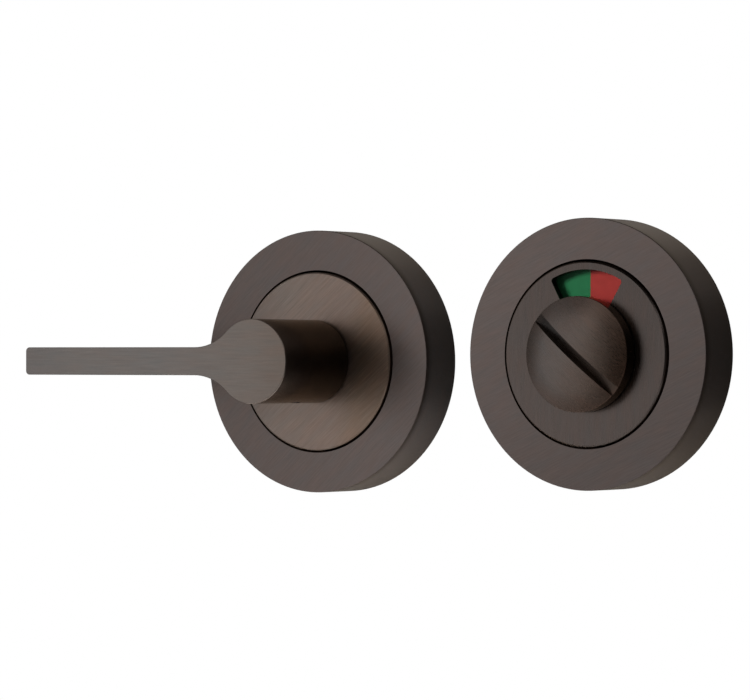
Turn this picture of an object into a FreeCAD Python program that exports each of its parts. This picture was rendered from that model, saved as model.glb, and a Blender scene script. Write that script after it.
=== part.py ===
import FreeCAD, Part
import math
import os
import Sketcher

# Bathroom turn and release, in two halves that stand side by side as they lie
# before they are fitted. The turn half has a long lever, and the release half
# has a coin slot and a red and green indicator behind a window.
# The frame is millimetres, +Z up, +X to the right seen from the front, and the
# front faces -Y. The origin is on the lever's turning axis, in the door plane.
# Each rose is drawn lying down: x across, y up, z out of the door to the viewer.
# Its placement then stands it up, so that z out of the door becomes -Y.

DRIVING_SIZES = {
    # The two halves and the door they are cut for
    "half_spacing": 61.9,
    "release_rise": 1.45,
    "door_thickness": 35,
    # Rose covers
    "rose_diameter": 52,
    "rose_height": 10.5,
    "cover_wall": 2.2,
    "cover_face_thickness": 2.3,
    "cover_edge_round": 0.15,
    "cover_clearance": 0.25,
    # Face discs
    "disc_radius": 17.66,
    "disc_gap": 0.45,
    "disc_proud": 0.5,
    "disc_thickness": 1.6,
    "disc_rim_wall": 0.8,
    "disc_edge_chamfer": 0.25,
    "spigot_height": 0.7,
    "press_clearance": 0.02,
    # Running fits
    "running_clearance": 0.03,
    "face_clearance": 0.05,
    "socket_clearance": 0.05,
    "cut_overrun": 1,
    # Base plates
    "base_thickness": 3.2,
    "recess_radius": 9.5,
    "bush_outer_radius": 6.5,
    "bush_flange_radius": 8.5,
    "bush_flange_thickness": 0.6,
    # Lever
    "boss_radius": 8.25,
    "lever_projection": 33.2,
    "blade_length": 55.2,
    "blade_width": 5.5,
    "blade_thickness": 5,
    "blade_flare_radius": 11,
    "blade_tip_round": 0.8,
    "lever_edge_round": 0.15,
    "lever_neck_radius": 6,
    "neck_end_gap": 0.6,
    "socket_cap": 5.2,
    "disc_bush_wall": 1,
    "disc_bush_flange_radius": 7.9,
    "disc_bush_flange_thickness": 0.35,
    "disc_bush_overhang": 0.2,
    # Spindle
    "spindle_width": 5,
    "spindle_cap_gap": 0.5,
    "spindle_engagement": 6,
    "spindle_chamfer": 0.5,
    # Shafts and their retaining parts
    "shaft_radius": 5,
    "shaft_end_inset": 0.3,
    "shaft_end_chamfer": 0.25,
    "clip_inset": 0.85,
    "clip_thickness": 1,
    "clip_groove_depth": 0.3,
    "clip_band": 1.7,
    "clip_lug_radius": 1.35,
    "clip_lug_hole_radius": 0.6,
    "clip_lug_spread": 24,
    "wave_washer_height": 0.95,
    "wave_washer_thickness": 0.35,
    "washer_thickness": 0.6,
    "washer_radius": 8.8,
    "washer_bore_clearance": 0.2,
    "hub_flange_radius": 7.8,
    "hub_flange_thickness": 1.1,
    # Release knob
    "knob_radius": 11.05,
    "knob_back_gap": 0.5,
    "knob_rim_height": 3.7,
    "knob_dome_height": 1.5,
    "knob_edge_round": 0.15,
    "slot_width": 2.07,
    "slot_angle": -39.8,
    "slot_depth": 3,
    "slot_end_depth": 0.15,
    "release_travel": 90,
    "knob_neck_radius": 5.6,
    "knob_neck_clearance": 0.3,
    "shaft_flat_depth": 0.6,
    "release_reach": 8,
    "release_socket_depth": 12,
    # Window and indicator
    "window_half_angle": 29.3,
    "window_middle_angle": 1.4,
    "window_edge_distance": 1.51,
    "window_inner_radius": 9.4,
    "window_corner_round": 0.6,
    "indicator_clearance": 0.65,
    "indicator_rim_gap": 0.4,
    "foil_thickness": 0.2,
    "foil_inner_radius": 8.6,
    "foil_margin": 0.15,
    "carrier_thickness": 1,
    "carrier_hub_radius": 7.4,
    "carrier_hub_height": 0.7,
    "carrier_gap": 0.3,
    # Fixing bolts and posts
    "fixing_edge_distance": 4.55,
    "bolt_radius": 2,
    "bolt_hole_clearance": 0.2,
    "bolt_waist_radius": 1.6,
    "bolt_waist_overrun": 0.3,
    "bolt_head_radius": 3.5,
    "bolt_head_height": 2.2,
    "bolt_head_round": 0.4,
    "bolt_key_width": 2.5,
    "bolt_key_depth": 1.3,
    "bolt_end_chamfer": 0.5,
    "bolt_engagement": 5,
    "head_pocket_clearance": 0.4,
    "spot_face_depth": 0.2,
    "post_radius": 3.5,
    "post_length": 20,
    "post_spigot_radius": 2.6,
    "post_rivet_height": 0.8,
    "post_thread_radius": 1.65,
    "post_thread_depth": 17,
    "post_end_chamfer": 0.5,
    # Grub screws
    "lever_grub_radius": 1.95,
    "lever_grub_length": 5,
    "lever_grub_key_width": 2,
    "cover_grub_radius": 1.22,
    "cover_grub_height": 1.7,
    "cover_grub_inset": 0.4,
    "cover_grub_bite": 0.9,
    "cover_grub_key_width": 1.3,
    "grub_key_depth": 1.3,
    "grub_chamfer": 0.2,
    "grub_thread_clearance": 0.05,
}

ON_AXIS = 0
TOUCH = 1e-4
WAVES = 3
WAVE_SECTIONS = 48

document = FreeCAD.newDocument("BathroomTurnAndRelease")
sub_parts = []


class Size:
    """A length or angle that holds its number and the sheet words it comes from."""

    def __init__(self, number, words):
        self.number = number
        self.words = words

    def __add__(self, other):
        return Size(self.number + number(other), f"({self.words} + {words(other)})")

    def __sub__(self, other):
        return Size(self.number - number(other), f"({self.words} - {words(other)})")

    def __mul__(self, other):
        return Size(self.number * number(other), f"({self.words} * {words(other)})")

    def __truediv__(self, other):
        return Size(self.number / number(other), f"({self.words} / {words(other)})")

    def __neg__(self):
        return Size(-self.number, f"(-{self.words})")


def number(value):
    return value.number if isinstance(value, Size) else float(value)


def words(value):
    return value.words if isinstance(value, Size) else repr(value)


def root(size):
    return Size(math.sqrt(size.number), f"sqrt({size.words})")


def cosine(angle):
    return Size(math.cos(math.radians(angle.number)), f"cos({angle.words} * 1deg)")


def sine(angle):
    return Size(math.sin(math.radians(angle.number)), f"sin({angle.words} * 1deg)")


def fill_sheet():
    """Write each driving size in its own named cell and return it as a Size."""
    sheet = document.addObject("Spreadsheet::Sheet", "Sizes")
    sizes = {}
    for row, (name, value) in enumerate(DRIVING_SIZES.items(), 1):
        sheet.set(f"A{row}", name.replace("_", " "))
        sheet.set(f"B{row}", str(value))
        sheet.setAlias(f"B{row}", name)
        sizes[name] = Size(value, f"Sizes.{name}")
    document.recompute()
    return sizes


size = fill_sheet()

# Heights above the door plane and radii that several pieces share
rose_radius = size["rose_diameter"] / 2
cover_bore = rose_radius - size["cover_wall"]
cover_opening = size["disc_radius"] + size["disc_gap"]
base_radius = cover_bore - size["cover_clearance"]
bolt_circle = base_radius - size["fixing_edge_distance"]
head_seat = size["base_thickness"] - size["spot_face_depth"]
disc_front = size["rose_height"] + size["disc_proud"]
disc_back = disc_front - size["disc_thickness"]
disc_rim_bore = size["disc_radius"] - size["disc_rim_wall"]
foil_top = disc_back - size["indicator_clearance"]
carrier_top = foil_top - size["foil_thickness"]
carrier_bottom = carrier_top - size["carrier_thickness"]
carrier_hub_bottom = carrier_bottom - size["carrier_hub_height"]
bush_flange_top = carrier_hub_bottom - size["carrier_gap"]
platform_top = bush_flange_top - size["bush_flange_thickness"]
bush_bore = size["shaft_radius"] + size["running_clearance"]
clip_top = size["clip_inset"] + size["clip_thickness"]
groove_bottom = size["clip_inset"] - size["face_clearance"]
groove_top = clip_top + size["face_clearance"]
groove_radius = size["shaft_radius"] - size["clip_groove_depth"]
wave_bottom = clip_top + size["face_clearance"]
wave_top = wave_bottom + size["wave_washer_height"]
recess_depth = wave_top + size["washer_thickness"]
washer_bore = size["shaft_radius"] + size["washer_bore_clearance"]
socket_half_width = size["spindle_width"] / 2 + size["socket_clearance"]
boss_back = disc_front + size["disc_bush_flange_thickness"] + size["face_clearance"]
blade_back = size["lever_projection"] - size["blade_thickness"]
lever_grub_height = (boss_back + blade_back) / 2
disc_bush_bore = size["lever_neck_radius"] + size["running_clearance"]
disc_bush_radius = disc_bush_bore + size["disc_bush_wall"]
knob_back = disc_front + size["knob_back_gap"]
knob_rim = size["rose_height"] + size["knob_rim_height"]
knob_top = knob_rim + size["knob_dome_height"]
release_bore = size["knob_neck_radius"] + size["knob_neck_clearance"]


def stand_up(item, across=None, up=None):
    """Turn a piece drawn lying down to face the front, and bind where it stands."""
    item.Placement = FreeCAD.Placement(
        FreeCAD.Vector(number(across or 0), 0, number(up or 0)),
        FreeCAD.Rotation(FreeCAD.Vector(1, 0, 0), 90),
    )
    if across is not None:
        item.setExpression("Placement.Base.x", words(across))
    if up is not None:
        item.setExpression("Placement.Base.z", words(up))


def stand_on_half(item, half):
    """Stand a piece on the turn half at the origin or on the release half beside it."""
    if half == "release":
        stand_up(item, size["half_spacing"], size["release_rise"])
    else:
        stand_up(item)


def new_body(label):
    body = document.addObject("PartDesign::Body", label)
    body.Label = label
    return body


def sketch_on(body, name, role, offset=None, turn=None):
    """Start a sketch on one of the body's own origin planes, raised from it or turned.

    The turn is about the body's z axis, which is the upright planes' own vertical.
    """
    sketch = body.newObject("Sketcher::SketchObject", name)
    plane = next(item for item in body.Origin.OriginFeatures if item.Role == role)
    sketch.AttachmentSupport = [(plane, "")]
    sketch.MapMode = "FlatFace"
    spin_axis = FreeCAD.Vector(0, 0, 1) if role == "XY_Plane" else FreeCAD.Vector(0, 1, 0)
    if offset is not None or turn is not None:
        sketch.AttachmentOffset = FreeCAD.Placement(
            FreeCAD.Vector(0, 0, number(offset or 0)),
            FreeCAD.Rotation(spin_axis, number(turn or 0)),
        )
    if offset is not None:
        sketch.setExpression("AttachmentOffset.Base.z", words(offset))
    if turn is not None:
        sketch.setExpression("AttachmentOffset.Rotation.Angle", words(turn))
    return sketch


def hold(sketch, kind, geometry, point, value):
    """Fix one coordinate of a point, or hold the point on an axis where it is zero."""
    if not isinstance(value, Size):
        axis = -2 if kind == "DistanceX" else -1
        sketch.addConstraint(Sketcher.Constraint("PointOnObject", geometry, point, axis))
        return
    rule = Sketcher.Constraint(kind, -1, 1, geometry, point, value.number)
    index = sketch.addConstraint(rule)
    sketch.setExpression(f"Constraints[{index}]", value.words)


def hold_point(sketch, geometry, point, place):
    hold(sketch, "DistanceX", geometry, point, place[0])
    hold(sketch, "DistanceY", geometry, point, place[1])


def vector(place):
    return FreeCAD.Vector(number(place[0]), number(place[1]), 0)


def add_path(sketch, corners):
    """Join corners by lines, each corner (across, up), and return the lines."""
    lines = []
    for start, end in zip(corners, corners[1:]):
        lines.append(sketch.addGeometry(Part.LineSegment(vector(start), vector(end))))
        hold_point(sketch, lines[-1], 1, start)
    for line, following in zip(lines, lines[1:]):
        sketch.addConstraint(Sketcher.Constraint("Coincident", line, 2, following, 1))
    return lines


def add_outline(sketch, corners):
    """Close a straight-sided outline through corners."""
    lines = add_path(sketch, corners + corners[:1])
    sketch.addConstraint(Sketcher.Constraint("Coincident", lines[-1], 2, lines[0], 1))


def add_circle(sketch, radius, centre=(ON_AXIS, ON_AXIS)):
    shape = Part.Circle(vector(centre), FreeCAD.Vector(0, 0, 1), radius.number)
    circle = sketch.addGeometry(shape)
    hold_point(sketch, circle, 3, centre)
    index = sketch.addConstraint(Sketcher.Constraint("Radius", circle, radius.number))
    sketch.setExpression(f"Constraints[{index}]", radius.words)


def add_arc(sketch, centre, radius, start, end):
    """Add the arc about centre that runs anticlockwise from start to end."""
    angles = []
    for place in (start, end):
        reach = vector(place) - vector(centre)
        angles.append(math.atan2(reach.y, reach.x))
    circle = Part.Circle(vector(centre), FreeCAD.Vector(0, 0, 1), radius.number)
    return sketch.addGeometry(Part.ArcOfCircle(circle, angles[0], angles[1]))


def rectangle(half_width, half_height):
    return [
        (-half_width, -half_height),
        (half_width, -half_height),
        (half_width, half_height),
        (-half_width, half_height),
    ]


def revolve(body, name, corners):
    """Turn a straight-sided section, (radius, height), about the body's z axis."""
    section = sketch_on(body, name + "_section", "XZ_Plane")
    add_outline(section, corners)
    return revolve_sketch(body, name, section)


def revolve_sketch(body, name, section):
    feature = body.newObject("PartDesign::Revolution", name)
    feature.Profile = section
    feature.ReferenceAxis = (section, ["V_Axis"])
    feature.Angle = 360
    document.recompute()
    return feature


def pad(body, name, sketch, length):
    feature = body.newObject("PartDesign::Pad", name)
    feature.Profile = sketch
    feature.Length = length.number
    feature.setExpression("Length", length.words)
    document.recompute()
    return feature


def pocket(body, name, sketch, length, outward=False, both_ways=False):
    """Cut a sketch against its own normal, along it or half each way, and check it cut."""
    before = body.Shape.Volume
    feature = body.newObject("PartDesign::Pocket", name)
    feature.Profile = sketch
    feature.Reversed = outward
    feature.Midplane = both_ways
    feature.Length = length.number
    feature.setExpression("Length", length.words)
    document.recompute()
    if body.Shape.Volume > before - TOUCH:
        raise RuntimeError(f"{body.Label}: {name} removes nothing")
    return feature


def dress(body, kind, name, edges, amount):
    """Round or chamfer the named edges of the body's last feature."""
    base = body.Tip
    if not edges:
        raise RuntimeError(f"{body.Label}: {name} finds no edge")
    feature = body.newObject(f"PartDesign::{kind}", name)
    feature.Base = (base, edges)
    dimension = "Radius" if kind == "Fillet" else "Size"
    setattr(feature, dimension, amount.number)
    feature.setExpression(dimension, amount.words)
    document.recompute()
    return feature


def edges_where(shape, test):
    """Name the edges that pass the test, leaving out points where a surface closes."""
    edges = enumerate(shape.Edges, 1)
    return [f"Edge{place}" for place, edge in edges if not edge.Degenerated and test(edge)]


def near(value, target):
    return abs(value - number(target)) < TOUCH


def rings(shape, radius, height):
    """Name the round edges of this radius at this height on the z axis."""

    def fits(edge):
        curve = edge.Curve
        if not isinstance(curve, Part.Circle) or not near(curve.Radius, radius):
            return False
        on_axis = near(curve.Center.x, 0) and near(curve.Center.y, 0)
        return on_axis and near(curve.Center.z, height)

    return edges_where(shape, fits)


def level_edges(shape, height):
    """Name the edges that lie flat at this height."""
    return edges_where(shape, lambda edge: all(near(v.Z, height) for v in edge.Vertexes)
                       and near(edge.CenterOfMass.z, height))


def upright_edges(shape, test):
    """Name the straight edges along z whose foot passes the test."""

    def fits(edge):
        if not isinstance(edge.Curve, Part.Line):
            return False
        foot = edge.Vertexes[0]
        upright = near(foot.X, edge.Vertexes[-1].X) and near(foot.Y, edge.Vertexes[-1].Y)
        return upright and test(foot)

    return edges_where(shape, fits)


def keep(item, label, half):
    """Label a finished sub-part and stand it on its half."""
    item.Label = label
    stand_on_half(item, half)
    sub_parts.append(item)
    return item


def both_sides(item, label):
    """Group a piece above its rose's centre with the like piece below it."""
    centre = size["release_rise"] if label.startswith("release") else None
    below = document.addObject("Part::Mirroring", label + "_below")
    below.Source = item
    below.Normal = FreeCAD.Vector(0, 0, 1)
    if centre is not None:
        below.Base = FreeCAD.Vector(0, 0, centre.number)
        below.setExpression("Base.z", centre.words)
    group = document.addObject("Part::Compound", label)
    group.Links = [item, below]
    group.Label = label
    sub_parts.append(group)


def hexagon(sketch, width):
    """Add a hexagon of this width across its flats."""
    half_width = width / 2
    corner = width / root(Size(3.0, "3"))
    add_outline(sketch, [
        (corner, ON_AXIS),
        (corner / 2, half_width),
        (-corner / 2, half_width),
        (-corner, ON_AXIS),
        (-corner / 2, -half_width),
        (corner / 2, -half_width),
    ])


def cut_square_socket(body, name, mouth, depth, turn=None, outward=True):
    """Cut the square that drives or is driven by the spindle."""
    sketch = sketch_on(body, name + "_square", "XY_Plane", mouth, turn)
    add_outline(sketch, rectangle(socket_half_width, socket_half_width))
    pocket(body, name, sketch, depth, outward)


def rose_cover(half):
    """Deep ring of solid brass: face, skirt to the door, and one grub screw hole."""
    body = new_body(half + "_rose_cover")
    face_back = size["rose_height"] - size["cover_face_thickness"]
    revolve(body, "ring", [
        (cover_opening, size["rose_height"]),
        (rose_radius, size["rose_height"]),
        (rose_radius, ON_AXIS),
        (cover_bore, ON_AXIS),
        (cover_bore, face_back),
        (cover_opening, face_back),
    ])
    hole = sketch_on(body, "grub_hole_circle", "XZ_Plane")
    hole_radius = size["cover_grub_radius"] + size["grub_thread_clearance"]
    add_circle(hole, hole_radius, (ON_AXIS, size["cover_grub_height"]))
    pocket(body, "grub_hole", hole, rose_radius, outward=True)
    edge = rings(body.Shape, rose_radius, size["rose_height"])
    dress(body, "Fillet", "front_round", edge, size["cover_edge_round"])
    return keep(body, half + "_rose_cover", half)


def face_disc(half, bore):
    """Inner disc of the rose, a shallow cup pressed over the base plate's spigot."""
    body = new_body(half + "_face_disc")
    revolve(body, "cup", [
        (bore, disc_front),
        (size["disc_radius"], disc_front),
        (size["disc_radius"], platform_top),
        (disc_rim_bore, platform_top),
        (disc_rim_bore, disc_back),
        (bore, disc_back),
    ])
    if half == "release":
        cut_window(body)
    edge = rings(body.Shape, size["disc_radius"], disc_front)
    dress(body, "Chamfer", "front_chamfer", edge, size["disc_edge_chamfer"])
    return keep(body, half + "_face_disc", half)


def cut_window(body):
    """Cut the fan-shaped window above the knob, its middle a little right of upright."""
    outer = size["disc_radius"] - size["window_edge_distance"]
    inner = size["window_inner_radius"]
    middle = size["window_middle_angle"]
    right_angle = size["window_half_angle"] + middle
    left_angle = size["window_half_angle"] - middle
    outer_right = (outer * sine(right_angle), outer * cosine(right_angle))
    outer_left = (-(outer * sine(left_angle)), outer * cosine(left_angle))
    inner_right = (inner * sine(right_angle), inner * cosine(right_angle))
    inner_left = (-(inner * sine(left_angle)), inner * cosine(left_angle))
    centre = (ON_AXIS, ON_AXIS)
    sketch = sketch_on(body, "window_fan", "XY_Plane", disc_front)
    sides = []
    for start, end in ((inner_right, outer_right), (outer_left, inner_left)):
        sides.append(sketch.addGeometry(Part.LineSegment(vector(start), vector(end))))
        hold_point(sketch, sides[-1], 1, start)
        hold_point(sketch, sides[-1], 2, end)
    right, left = sides
    top = add_arc(sketch, centre, outer, outer_right, outer_left)
    foot = add_arc(sketch, centre, inner, inner_right, inner_left)
    for arc, first, last in ((top, (right, 2), (left, 1)), (foot, (right, 1), (left, 2))):
        sketch.addConstraint(Sketcher.Constraint("Coincident", arc, 1, *first))
        sketch.addConstraint(Sketcher.Constraint("Coincident", arc, 2, *last))
        hold(sketch, "DistanceY", arc, 3, ON_AXIS)
    pocket(body, "window", sketch, size["disc_thickness"])
    corners = upright_edges(body.Shape, lambda foot_point: foot_point.Y > 0)
    dress(body, "Fillet", "window_corners", corners, size["window_corner_round"])


def base_plate(half, hole_radius):
    """Turned plate that carries the shaft, the disc and the cover, screwed to the door."""
    body = new_body(half + "_base_plate")
    spigot_radius = disc_rim_bore - size["press_clearance"]
    spigot_bore = spigot_radius - size["disc_rim_wall"]
    spigot_top = platform_top + size["spigot_height"]
    bore = size["bush_outer_radius"] + size["press_clearance"]
    revolve(body, "plate", [
        (size["recess_radius"], ON_AXIS),
        (base_radius, ON_AXIS),
        (base_radius, size["base_thickness"]),
        (size["disc_radius"], size["base_thickness"]),
        (size["disc_radius"], platform_top),
        (spigot_radius, platform_top),
        (spigot_radius, spigot_top),
        (spigot_bore, spigot_top),
        (spigot_bore, platform_top),
        (bore, platform_top),
        (bore, recess_depth),
        (size["recess_radius"], recess_depth),
    ])
    seat = sketch_on(body, "head_pocket_circles", "XY_Plane", head_seat)
    hole = sketch_on(body, "bolt_hole_circles", "XY_Plane")
    for place in (bolt_circle, -bolt_circle):
        pocket_radius = size["bolt_head_radius"] + size["head_pocket_clearance"]
        add_circle(seat, pocket_radius, (ON_AXIS, place))
        add_circle(hole, hole_radius, (ON_AXIS, place))
    pocket(body, "head_pockets", seat, platform_top, outward=True)
    pocket(body, "bolt_holes", hole, size["base_thickness"], outward=True)
    dimple = sketch_on(body, "dimple_circle", "XZ_Plane", base_radius)
    dimple_radius = size["cover_grub_radius"] + size["grub_thread_clearance"]
    add_circle(dimple, dimple_radius, (ON_AXIS, size["cover_grub_height"]))
    pocket(body, "grub_dimple", dimple, size["cover_grub_bite"])
    return keep(body, half + "_base_plate", half)


def shaft_bush(half):
    """Flanged bush pressed in the base plate, in which the shaft turns."""
    body = new_body(half + "_shaft_bush")
    revolve(body, "bush", [
        (bush_bore, recess_depth),
        (size["bush_outer_radius"], recess_depth),
        (size["bush_outer_radius"], platform_top),
        (size["bush_flange_radius"], platform_top),
        (size["bush_flange_radius"], bush_flange_top),
        (bush_bore, bush_flange_top),
    ])
    return keep(body, half + "_shaft_bush", half)


def flat_washer(half):
    """Plain steel washer at the top of the recess in the base plate's back."""
    body = new_body(half + "_flat_washer")
    revolve(body, "washer", [
        (washer_bore, wave_top),
        (size["washer_radius"], wave_top),
        (size["washer_radius"], recess_depth),
        (washer_bore, recess_depth),
    ])
    return keep(body, half + "_flat_washer", half)


def wave_washer(half):
    """Sprung steel ring whose height follows a cosine, three waves to the turn."""
    thickness = size["wave_washer_thickness"].number
    lowest = wave_bottom.number
    swing = (size["wave_washer_height"].number - thickness) / 2
    inner = washer_bore.number
    outer = size["washer_radius"].number
    sections = []
    for step in range(WAVE_SECTIONS):
        angle = 2 * math.pi * step / WAVE_SECTIONS
        floor = lowest + swing * (1 + math.cos(WAVES * angle))
        corners = []
        for radius, height in ((inner, 0), (outer, 0), (outer, thickness), (inner, thickness)):
            corners.append(FreeCAD.Vector(radius * math.cos(angle),
                                          radius * math.sin(angle), floor + height))
        sections.append(Part.makePolygon(corners + corners[:1]))
    washer = document.addObject("Part::Feature", half + "_wave_washer")
    washer.Shape = Part.makeLoft(sections, True, False, True)
    return keep(washer, half + "_wave_washer", half)


def retaining_clip(half):
    """External ring of spring steel in the shaft's groove, open between two lugs."""
    body = new_body(half + "_retaining_clip")
    inner = groove_radius + size["face_clearance"]
    outer = inner + size["clip_band"]
    across = outer * sine(size["clip_lug_spread"])
    up = outer * cosine(size["clip_lug_spread"])
    band = sketch_on(body, "band_circles", "XY_Plane", size["clip_inset"])
    add_circle(band, inner)
    add_circle(band, outer)
    pad(body, "band", band, size["clip_thickness"])
    lugs = sketch_on(body, "lug_circles", "XY_Plane", size["clip_inset"])
    holes = sketch_on(body, "lug_hole_circles", "XY_Plane", size["clip_inset"])
    for side in (across, -across):
        add_circle(lugs, size["clip_lug_radius"], (side, up))
        add_circle(holes, size["clip_lug_hole_radius"], (side, up))
    pad(body, "lugs", lugs, size["clip_thickness"])
    pocket(body, "lug_holes", holes, size["clip_thickness"], outward=True)
    gap = sketch_on(body, "gap_outline", "XY_Plane", size["clip_inset"])
    gap_half = across - size["clip_lug_radius"]
    add_outline(gap, [
        (-gap_half, ON_AXIS),
        (gap_half, ON_AXIS),
        (gap_half, outer + size["clip_lug_radius"]),
        (-gap_half, outer + size["clip_lug_radius"]),
    ])
    pocket(body, "gap", gap, size["clip_thickness"], outward=True)
    return keep(body, half + "_retaining_clip", half)


def cover_grub_screw(half):
    """Small grub screw under the rose that holds the cover on the base plate."""
    tip = base_radius - size["cover_grub_bite"]
    length = rose_radius - size["cover_grub_inset"] - tip
    screw = grub_screw(half + "_cover_grub_screw", size["cover_grub_radius"], length,
                       size["cover_grub_key_width"])
    if half == "release":
        place_grub(screw, size["half_spacing"], -size["cover_grub_height"],
                   size["release_rise"] - tip)
    else:
        place_grub(screw, ON_AXIS, -size["cover_grub_height"], -tip)


def grub_screw(label, radius, length, key_width):
    """Headless screw along z, its tip at zero and a hexagon socket in its outer end."""
    body = new_body(label)
    chamfer = size["grub_chamfer"]
    revolve(body, "screw", [
        (ON_AXIS, ON_AXIS),
        (radius - chamfer, ON_AXIS),
        (radius, chamfer),
        (radius, length - chamfer),
        (radius - chamfer, length),
        (ON_AXIS, length),
    ])
    key = sketch_on(body, "key_hexagon", "XY_Plane", length)
    hexagon(key, key_width)
    pocket(body, "key_socket", key, size["grub_key_depth"])
    return body


def place_grub(screw, across, out, up):
    """Point a grub screw straight down with its tip at this place."""
    screw.Placement = FreeCAD.Placement(
        FreeCAD.Vector(number(across), number(out), number(up)),
        FreeCAD.Rotation(FreeCAD.Vector(1, 0, 0), 180),
    )
    for axis, value in (("x", across), ("y", out), ("z", up)):
        screw.setExpression(f"Placement.Base.{axis}", words(value))
    sub_parts.append(screw)


def lever():
    """Turned boss and flat blade in one piece, with the spindle's socket in its neck."""
    body = new_body("turn_lever")
    neck_end = disc_back - size["neck_end_gap"]
    revolve(body, "boss", [
        (ON_AXIS, neck_end),
        (size["lever_neck_radius"], neck_end),
        (size["lever_neck_radius"], boss_back),
        (size["boss_radius"], boss_back),
        (size["boss_radius"], size["lever_projection"]),
        (ON_AXIS, size["lever_projection"]),
    ])
    pad(body, "blade", blade_outline(body), size["blade_thickness"])
    tips = upright_edges(body.Shape, lambda foot: near(foot.X, -size["blade_length"]))
    dress(body, "Fillet", "tip_corners", tips, size["blade_tip_round"])
    front = level_edges(body.Shape, size["lever_projection"])
    dress(body, "Fillet", "front_round", front, size["lever_edge_round"])
    socket_top = size["lever_projection"] - size["socket_cap"]
    cut_square_socket(body, "spindle_socket", neck_end, socket_top - neck_end)
    hole = sketch_on(body, "grub_hole_circle", "XZ_Plane")
    hole_radius = size["lever_grub_radius"] + size["grub_thread_clearance"]
    add_circle(hole, hole_radius, (ON_AXIS, lever_grub_height))
    pocket(body, "grub_hole", hole, size["boss_radius"], outward=True)
    return keep(body, "turn_lever", "turn")


def blade_outline(body):
    """Outline of the blade, its hollow flares tangent to its sides and to the boss."""
    half_width = size["blade_width"] / 2
    boss = size["boss_radius"]
    flare = size["blade_flare_radius"]
    flare_start = root((boss - half_width) * (boss + half_width + flare * 2))
    share = boss / (boss + flare)
    touch = (-(flare_start * share), (half_width + flare) * share)
    touch_below = (touch[0], -touch[1])
    tip = -size["blade_length"]
    sketch = sketch_on(body, "blade_sketch", "XY_Plane", blade_back)
    lines = add_path(sketch, [
        (-flare_start, half_width),
        (tip, half_width),
        (tip, -half_width),
        (-flare_start, -half_width),
    ])
    hold_point(sketch, lines[-1], 2, (-flare_start, -half_width))
    chord = sketch.addGeometry(Part.LineSegment(vector(touch_below), vector(touch)))
    hold(sketch, "DistanceX", chord, 1, touch[0])
    hold(sketch, "DistanceX", chord, 2, touch[0])
    upper = add_arc(sketch, (-flare_start, half_width + flare), flare,
                    (-flare_start, half_width), touch)
    lower = add_arc(sketch, (-flare_start, -(half_width + flare)), flare,
                    touch_below, (-flare_start, -half_width))
    hold_point(sketch, upper, 3, (-flare_start, half_width + flare))
    hold_point(sketch, lower, 3, (-flare_start, -(half_width + flare)))
    joins = ((upper, 1, lines[0], 1), (upper, 2, chord, 2),
             (lower, 2, lines[-1], 2), (lower, 1, chord, 1))
    for join in joins:
        sketch.addConstraint(Sketcher.Constraint("Coincident", *join))
    return sketch


def disc_bush():
    """Thin flanged bush of dark plastic between the lever's boss and the face disc."""
    body = new_body("turn_disc_bush")
    flange_top = disc_front + size["disc_bush_flange_thickness"]
    end = disc_back - size["disc_bush_overhang"]
    revolve(body, "bush", [
        (disc_bush_bore, end),
        (disc_bush_radius, end),
        (disc_bush_radius, disc_front),
        (size["disc_bush_flange_radius"], disc_front),
        (size["disc_bush_flange_radius"], flange_top),
        (disc_bush_bore, flange_top),
    ])
    return keep(body, "turn_disc_bush", "turn")


def turn_hub():
    """Flanged hub that turns in the base plate and passes the spindle through."""
    body = new_body("turn_hub")
    flange_bottom = bush_flange_top + size["face_clearance"]
    flange_top = flange_bottom + size["hub_flange_thickness"]
    revolve(body, "hub", [
        (ON_AXIS, flange_top),
        (size["hub_flange_radius"], flange_top),
        (size["hub_flange_radius"], flange_bottom),
        (size["shaft_radius"], flange_bottom),
        (size["shaft_radius"], groove_top),
        (groove_radius, groove_top),
        (groove_radius, groove_bottom),
        (size["shaft_radius"], groove_bottom),
        (size["shaft_radius"], size["shaft_end_inset"]),
        (ON_AXIS, size["shaft_end_inset"]),
    ])
    cut_square_socket(body, "spindle_way", size["shaft_end_inset"],
                      flange_top - size["shaft_end_inset"])
    return keep(body, "turn_hub", "turn")


def spindle():
    """Square steel bar from the lever's socket through the door to the release."""
    body = new_body("spindle")
    half_width = size["spindle_width"] / 2
    top = size["lever_projection"] - size["socket_cap"] - size["spindle_cap_gap"]
    reach = size["door_thickness"] - size["release_reach"] + size["spindle_engagement"]
    sketch = sketch_on(body, "square", "XY_Plane", -reach)
    add_outline(sketch, rectangle(half_width, half_width))
    pad(body, "bar", sketch, top + reach)
    ends = level_edges(body.Shape, top) + level_edges(body.Shape, -reach)
    dress(body, "Chamfer", "end_chamfer", ends, size["spindle_chamfer"])
    return keep(body, "spindle", "turn")


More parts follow.
